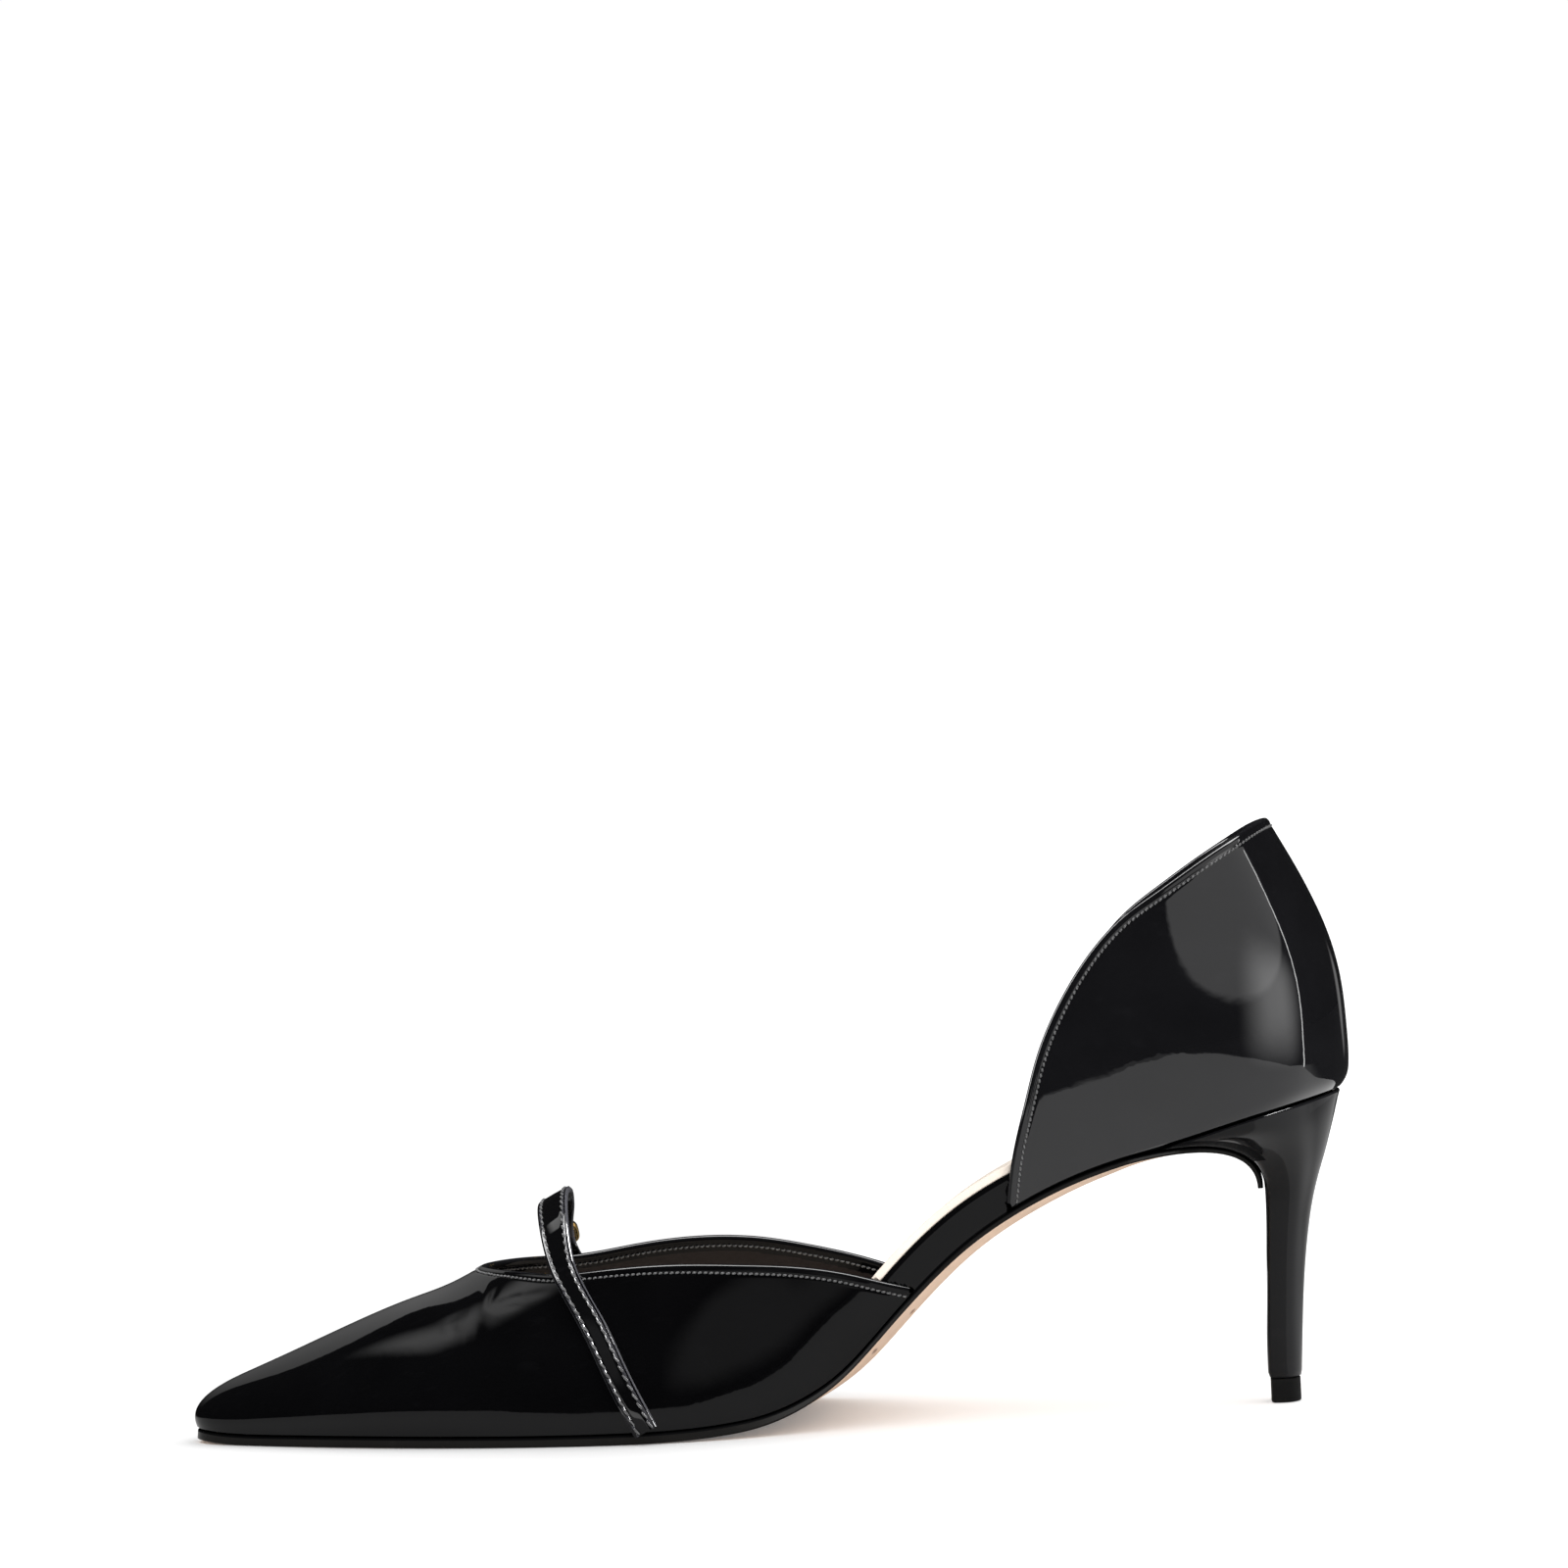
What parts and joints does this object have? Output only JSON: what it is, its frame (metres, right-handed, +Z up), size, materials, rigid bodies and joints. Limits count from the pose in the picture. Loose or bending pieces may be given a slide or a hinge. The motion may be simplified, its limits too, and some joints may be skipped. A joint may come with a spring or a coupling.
{
  "type": "pump shoe",
  "caption": "Pointed pump with a cut-away waist, hollow vamp and heel cup, slim covered heel, thin leather sole and a buckled strap over the instep.",
  "frame": {"origin": "on the floor, under the middle of the shoe's box", "axes": "-X towards the toe, -Y towards the inner side of this right shoe, +Z up from the floor"},
  "size_m": [0.2434, 0.0732, 0.1199],
  "materials": {
    "patent": "black patent, high gloss",
    "sole_leather": "tan, smooth, black edge",
    "sock_leather": "pale nude, soft matte",
    "tip_rubber": "black, matte",
    "gold": "polished gold colour"
  },
  "bodies": {
    "root": {"outsole": "sole_leather", "insole_board": "patent", "insole_sock": "sock_leather", "upper_vamp": "patent", "upper_quarter": "patent", "heel": "patent", "top_piece": "tip_rubber", "strap": "patent", "strap_tab": "patent", "buckle_frame": "gold", "buckle_prong": "gold"}
  },
  "joints": []
}
